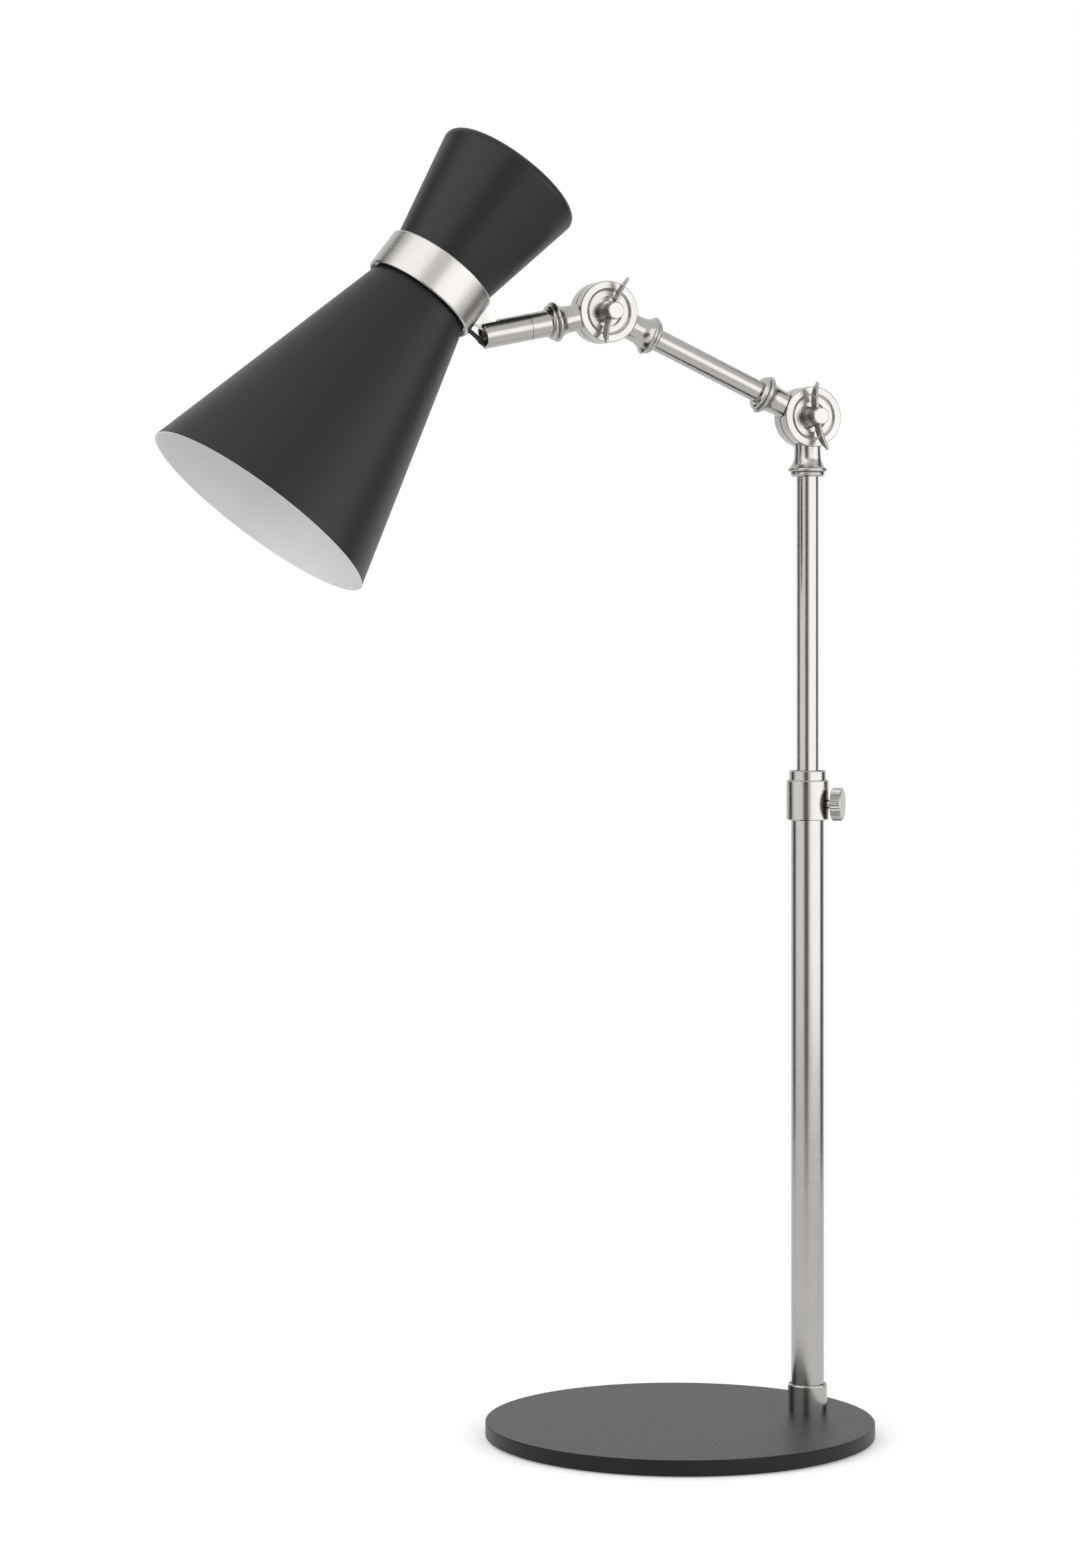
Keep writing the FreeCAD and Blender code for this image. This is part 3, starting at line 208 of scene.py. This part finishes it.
def fine_grain(name, tone, rough, grain=900.0, depth=0.00004, warm=0.0, specular=0.5):
    """Paint, rubber or plastic with a fine grain."""
    g = Graph(name)
    fine = g.noise(g.coords.outputs["Object"], grain, 3.0, 0.6)
    broad = g.noise(g.coords.outputs["Object"], 14.0, 2.0)
    colour = g.blend(g.remap(broad, 0.3, 0.7), grey(tone * 0.9, warm), grey(tone * 1.12, warm))
    g.put(colour, g.shader.inputs["Base Color"])
    g.put(g.remap(fine, 0.3, 0.7, rough - 0.04, rough + 0.05), g.shader.inputs["Roughness"])
    g.shader.inputs["Specular IOR Level"].default_value = specular
    g.bump(fine, depth, 0.5)
    return g.material


def shade_paint(name, inner_radius_at):
    """Matte black outside; the inside and the lip are white. inner_radius_at builds the limit radius."""
    g = Graph(name)
    height, radial, distance = g.from_axis(MOUTH, SHADE_LINE)
    limit = inner_radius_at(g, height)
    inside = g.math("LESS_THAN", distance, limit)
    fine = g.noise(g.coords.outputs["Object"], 1100.0, 3.0, 0.6)
    broad = g.noise(g.coords.outputs["Object"], 12.0, 2.0)
    black = g.blend(g.remap(broad, 0.3, 0.7), grey(0.0085), grey(0.0105))
    white = g.blend(g.remap(broad, 0.3, 0.7), (0.76, 0.765, 0.78, 1), (0.80, 0.805, 0.815, 1))
    g.put(g.blend(inside, black, white), g.shader.inputs["Base Color"])
    g.shader.inputs["Specular IOR Level"].default_value = 0.3
    outer_rough = g.remap(fine, 0.3, 0.7, 0.38, 0.46)
    g.put(g.math("MULTIPLY_ADD", inside, -0.08, outer_rough), g.shader.inputs["Roughness"])
    g.bump(fine, 0.00003, 0.5)
    return g.material


def lower_limit(g, height):
    """How far from the axis the lower cone's white inside reaches, at a height."""
    slope = (WAIST_RADIUS - MOUTH_RADIUS) / WAIST
    return g.math("MULTIPLY_ADD", height, slope, MOUTH_RADIUS - LOWER_SKIN)


def upper_limit(g, height):
    """The same for the upper cone, and nothing at its top."""
    slope = (UPPER_RADIUS - WAIST_RADIUS) / UPPER_HEIGHT
    cone = g.math("MULTIPLY_ADD", g.math("SUBTRACT", height, WAIST), slope, WAIST_RADIUS - UPPER_SKIN)
    below_top = g.math("LESS_THAN", height, WAIST + UPPER_HEIGHT - TOP_FLANGE)
    return g.math("MULTIPLY", cone, below_top)


def porcelain(name):
    """Glazed body of the lamp socket."""
    g = Graph(name)
    clouds = g.noise(g.coords.outputs["Object"], 60.0, 2.0)
    g.put(g.blend(clouds, (0.80, 0.79, 0.75, 1), (0.88, 0.87, 0.84, 1)), g.shader.inputs["Base Color"])
    g.put(g.remap(clouds, 0.3, 0.7, 0.16, 0.26), g.shader.inputs["Roughness"])
    return g.material


def screw_brass(name):
    """Brass with the rolled thread of a lamp socket."""
    g = Graph(name)
    height, radial, distance = g.from_axis(MOUTH, SHADE_LINE)
    wave = g.math("SINE", g.math("MULTIPLY", height, 2 * math.pi / THREAD_PITCH))
    tint = g.noise(g.coords.outputs["Object"], 120.0, 2.0)
    g.put(g.blend(tint, (0.62, 0.44, 0.18, 1), (0.78, 0.60, 0.30, 1)), g.shader.inputs["Base Color"])
    g.put(g.remap(tint, 0.3, 0.7, 0.22, 0.34), g.shader.inputs["Roughness"])
    g.shader.inputs["Metallic"].default_value = 1.0
    g.bump(wave, 0.0004, 0.6)
    return g.material


post_nickel = brushed_nickel("post_nickel", (POST.x, 0, 0), UP)
arm_nickel = brushed_nickel("arm_nickel", LOWER_AXIS, ARM_LINE)
spur_nickel = brushed_nickel("spur_nickel", UPPER_AXIS, SPUR_LINE)
band_nickel = brushed_nickel("band_nickel", MOUTH, SHADE_LINE, tone=0.44, rough=0.24, grain=1.2)
knob_nickel = brushed_nickel("knob_nickel", SCREW_POINT, SCREW_LINE, rough=0.26)
casting = cast_nickel("casting_nickel")
wing = cast_nickel("wing_nickel", tone=0.45, rough=0.23)
zinc = plain_steel("zinc_steel")
base_paint = fine_grain("base_paint", 0.0075, 0.40, depth=0.00002, warm=0.02, specular=0.22)
rubber = fine_grain("pad_rubber", 0.012, 0.85, grain=500.0, depth=0.0001)
dark_plastic = fine_grain("dark_plastic", 0.012, 0.55)
lead_rubber = fine_grain("lead_rubber", 0.010, 0.5, grain=600.0)
pale_plastic = fine_grain("pale_plastic", 0.7, 0.45, grain=500.0)
brass = screw_brass("socket_brass")

FINISHES = {
    base_paint: ["base_plate"],
    rubber: ["base_pad"],
    dark_plastic: ["cord_grommet", "friction_washers", "lead_bushing"],
    pale_plastic: ["guide_sleeve", "pressure_pad"],
    post_nickel: ["post_ferrule", "lower_tube", "clamp_collar", "collar_cap", "upper_tube"],
    arm_nickel: ["arm_tube"],
    spur_nickel: ["spur_stub", "spur_sleeve"],
    knob_nickel: ["thumbscrew"],
    casting: ["post_knuckle", "arm_lower_knuckle", "arm_upper_knuckle", "spur_knuckle", "shade_bracket",
              "knuckle_bolts", "lower_nut_washer", "upper_nut_washer"],
    wing: ["lower_wing_nut", "upper_wing_nut"],
    band_nickel: ["waist_band"],
    zinc: ["foot_nipple", "foot_washer", "foot_nut", "foot_plug", "retaining_rings", "swivel_spindle",
           "spindle_clip", "tilt_fork", "tilt_pin", "bracket_screw", "socket_plate", "waist_screws",
           "socket_nipple", "socket_nut"],
    shade_paint("lower_shade_paint", lower_limit): ["lower_shade"],
    shade_paint("upper_shade_paint", upper_limit): ["upper_shade"],
    porcelain("porcelain"): ["socket_body"],
    brass: ["socket_shell", "socket_contact"],
    lead_rubber: ["lamp_lead"],
}
for material, names in FINISHES.items():
    for node_name in names:
        for slot in nodes[node_name].material_slots:
            slot.material = material


# ---------------------------------------------------------------- lead
LEAD_RADIUS = 0.0013
LEAD_SIDE = 0.0006            # the lead runs a little behind the arm's plane
LEAD_DROP = 0.00465           # and this far below the spur's axis, under the fork
LEAD_ENTRY = WAIST - 0.0028   # up the shade, where the lead goes into the band
SPINDLE_END = 0.0554          # along the spur, from the upper knuckle's axis
SLEEVE_END = 0.0747
SOCKET_RADIUS = 0.0175
BEND_STEPS = 10


def spur_point(reach, drop):
    """A place on the lead, along the spur and below its axis."""
    below = SPUR_LINE.cross(Vector((0, 1, 0)))
    if below.z > 0:
        below.negate()
    return UPPER_AXIS + SPUR_LINE * reach + below * drop + Vector((0, LEAD_SIDE, 0))


def shade_point(radius, height):
    """A place on the lead, out from the shade's axis and up from its mouth."""
    return MOUTH + SHADE_OUT * radius + SHADE_LINE * height + Vector((0, LEAD_SIDE, 0))


def rounded_route(points):
    """Straight runs joined by smooth bends, each as large as its two runs allow."""
    route = [points[0]]
    for before, corner, after in zip(points, points[1:], points[2:]):
        back, on = before - corner, after - corner
        run = 0.45 * min(back.length, on.length)
        start, finish = corner + back.normalized() * run, corner + on.normalized() * run
        for step in range(BEND_STEPS + 1):
            t = step / BEND_STEPS
            route.append(start * (1 - t) ** 2 + corner * 2 * t * (1 - t) + finish * t ** 2)
    route.append(points[-1])
    return route


def make_lead():
    """The lamp's short lead, from the hollow spindle under the fork into the band."""
    mouth = spur_point(SLEEVE_END + 0.0012, LEAD_DROP)
    entry = shade_point(BAND_RADIUS + 0.0070, LEAD_ENTRY)
    route = rounded_route([
        spur_point(SPINDLE_END - 0.0050, 0), spur_point(SPINDLE_END + 0.0008, 0),
        spur_point(SPINDLE_END + 0.0040, LEAD_DROP), mouth, entry,
        shade_point(SOCKET_RADIUS + 0.0002, LEAD_ENTRY)])
    data = bpy.data.curves.new("lead_curve", "CURVE")
    data.dimensions = "3D"
    data.bevel_depth = LEAD_RADIUS
    data.bevel_resolution = 6
    data.use_fill_caps = True
    line = data.splines.new("POLY")
    line.points.add(len(route) - 1)
    for point, place in zip(line.points, route):
        point.co = (place.x, place.y, place.z, 1)
    lead = bpy.data.objects.new("lead_tube", data)
    bpy.context.scene.collection.objects.link(lead)
    bpy.context.view_layer.objects.active = lead
    lead.select_set(True)
    bpy.ops.object.convert(target="MESH")
    lead = bpy.context.object
    for face in lead.data.polygons:
        face.use_smooth = True
    lead.data.materials.clear()
    lead.data.materials.append(lead_rubber)
    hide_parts("lamp_lead")
    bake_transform(lead)


make_lead()


# ---------------------------------------------------------------- studio
CAMERA_PLACE = Vector((-0.9243, -2.1534, 0.4790))
CAMERA_HEADING = math.radians(-21.27)
LOOK = Vector((-math.sin(CAMERA_HEADING), math.cos(CAMERA_HEADING), 0))
SENSOR = 24.0
FOCAL_PIXELS = 4088.3
PHOTO_HEIGHT = 1545
HORIZON_ROW = 600
SUBJECT = Vector((-0.02, 0, 0.50))
WORLD_LIGHT = 0.72            # the world's strength for the light it throws
FLOOR_LIFT = 0.30             # what brings the lit floor up to white
FLOOR_NEAR = 0.30             # the floor turns plain white from this reach
FLOOR_FAR = 0.80              # to this one


def around(side, rise, distance):
    """A place round the lamp: side is degrees round from the camera to its right, rise is degrees upwards."""
    angle, lift = math.radians(side), math.radians(rise)
    level = Vector((-LOOK.x * math.cos(angle) + LOOK.y * math.sin(angle),
                    -LOOK.x * math.sin(angle) - LOOK.y * math.cos(angle), 0))
    return SUBJECT + (level * math.cos(lift) + Vector((0, 0, math.sin(lift)))) * distance


def panel(name, side, rise, distance, width, tall, glow):
    """A soft box that faces the lamp. glow is how bright its face is, where 1 is white."""
    light = bpy.data.lights.new(name, "AREA")
    light.shape = "RECTANGLE"
    light.size = width
    light.size_y = tall
    light.energy = glow * math.pi * width * tall
    item = bpy.data.objects.new(name, light)
    item.location = around(side, rise, distance)
    item.rotation_euler = (SUBJECT - item.location).to_track_quat("-Z", "Y").to_euler()
    item.visible_camera = False
    bpy.context.scene.collection.objects.link(item)
    return item


PANELS = {
    # name: side, rise (degrees), distance, width, height (metres), glow
    "right_box": (56, 0, 1.9, 3.2, 1.45, 1.25),
    "left_low_box": (-58, -2, 1.9, 2.0, 0.9, 0.45),
    "left_high_box": (-45, 36, 1.9, 2.4, 1.7, 1.05),
    "front_box": (-7, 12, 2.6, 1.9, 2.2, 0.13),
}
FLAG_DISTANCE = 1.15
FLAG_FOOT = 0.001
FLAG_STEPS = 8
FLAGS = {
    # name: first side, last side (degrees), top (metres), tone
    "flag_left": (-128, -100, 1.7, 0.03),
    "flag_right": (100, 128, 1.7, 0.03),
    "flag_front": (-22, 6, 1.0, 0.12),
}


def card_material(name, tone):
    """Matt cloth, nearly grey."""
    g = Graph(name)
    dark = (tone * 0.9, tone * 0.88, tone * 0.86, 1)
    pale = (tone * 1.1, tone * 1.08, tone * 1.06, 1)
    g.put(g.blend(g.noise(None, 3.0), dark, pale), g.shader.inputs["Base Color"])
    g.shader.inputs["Roughness"].default_value = 1.0
    return g.material


def only_reflected(item):
    """Stages a card that nothing but a reflection shows."""
    item.visible_camera = False
    item.visible_diffuse = False
    item.visible_shadow = False
    item.visible_transmission = False


def make_flag(name, first_side, last_side, top, tone):
    """A narrow dark flag that only reflections see. Elsewhere the metal shows the panels and the pale set."""
    vertices = []
    for step in range(FLAG_STEPS + 1):
        foot = around(first_side + (last_side - first_side) * step / FLAG_STEPS, 0, FLAG_DISTANCE)
        vertices += [(foot.x, foot.y, FLAG_FOOT), (foot.x, foot.y, top)]
    faces = [(2 * k, 2 * k + 2, 2 * k + 3, 2 * k + 1) for k in range(FLAG_STEPS)]
    mesh = bpy.data.meshes.new(name)
    mesh.from_pydata(vertices, [], faces)
    mesh.materials.append(card_material(name + "_cloth", tone))
    card = bpy.data.objects.new(name, mesh)
    bpy.context.scene.collection.objects.link(card)
    only_reflected(card)


def seen_rays(tree):
    """1 for camera, glossy and transmission rays, 0 for the rest."""
    path = tree.nodes.new("ShaderNodeLightPath")
    seen = path.outputs["Is Camera Ray"]
    for kind in ("Is Glossy Ray", "Is Transmission Ray"):
        either = tree.nodes.new("ShaderNodeMath")
        either.operation = "MAXIMUM"
        tree.links.new(seen, either.inputs[0])
        tree.links.new(path.outputs[kind], either.inputs[1])
        seen = either.outputs[0]
    return seen


def glow(tree, kind, strength):
    """A white Background or Emission shader. strength is a number or an output."""
    node = tree.nodes.new(kind)
    node.inputs["Color"].default_value = (1, 1, 1, 1)
    if isinstance(strength, bpy.types.NodeSocket):
        tree.links.new(strength, node.inputs["Strength"])
    else:
        node.inputs["Strength"].default_value = strength
    return node.outputs[0]


def joined(tree, kind, *sources):
    """A Mix or Add shader with its inputs linked in order."""
    node = tree.nodes.new(kind)
    for source, socket in zip(sources, node.inputs):
        tree.links.new(source, socket)
    return node.outputs[0]


def make_world():
    """White for what the camera and reflections see, and softer for the light itself."""
    world = bpy.data.worlds.new("studio")
    world.use_nodes = True
    tree = world.node_tree
    soft = tree.nodes["Background"]
    soft.inputs["Color"].default_value = (1, 1, 1, 1)
    soft.inputs["Strength"].default_value = WORLD_LIGHT
    white = glow(tree, "ShaderNodeBackground", 1.0)
    both = joined(tree, "ShaderNodeMixShader", seen_rays(tree), soft.outputs[0], white)
    tree.links.new(both, tree.nodes["World Output"].inputs["Surface"])
    bpy.context.scene.world = world


def make_floor():
    """A pale floor, lifted to white for what the camera and reflections see, with the lamp's shadow on it."""
    bpy.ops.mesh.primitive_plane_add(size=30.0, location=(0, 0, -0.0002))
    floor = bpy.context.object
    floor.name = "studio_floor"
    g = Graph("floor_white")
    g.put(g.blend(g.noise(None, 40.0), grey(0.78), grey(0.80)), g.shader.inputs["Base Color"])
    g.shader.inputs["Roughness"].default_value = 0.9
    seen = seen_rays(g.tree)
    lift = glow(g.tree, "ShaderNodeEmission", g.math("MULTIPLY", seen, FLOOR_LIFT))
    near = joined(g.tree, "ShaderNodeAddShader", g.shader.outputs[0], lift)
    reach = g.vector("LENGTH", g.coords.outputs["Object"])
    far = g.math("MULTIPLY", seen, g.remap(reach, FLOOR_NEAR, FLOOR_FAR))
    white = glow(g.tree, "ShaderNodeEmission", 1.0)
    both = joined(g.tree, "ShaderNodeMixShader", far, near, white)
    g.tree.links.new(both, g.tree.nodes["Material Output"].inputs["Surface"])
    floor.data.materials.append(g.material)


def make_camera():
    data = bpy.data.cameras.new("camera")
    data.sensor_fit = "VERTICAL"
    data.sensor_height = SENSOR
    data.lens = SENSOR * FOCAL_PIXELS / PHOTO_HEIGHT
    data.shift_y = -(PHOTO_HEIGHT / 2 - HORIZON_ROW) / PHOTO_HEIGHT
    data.clip_end = 60.0
    camera = bpy.data.objects.new("camera", data)
    camera.location = CAMERA_PLACE
    camera.rotation_euler = (math.radians(90), 0, CAMERA_HEADING)
    bpy.context.scene.collection.objects.link(camera)
    bpy.context.scene.camera = camera


for panel_name, setting in PANELS.items():
    panel(panel_name, *setting)
for flag_name, setting in FLAGS.items():
    make_flag(flag_name, *setting)
make_world()
make_floor()
make_camera()
bpy.context.scene.view_settings.view_transform = "Standard"
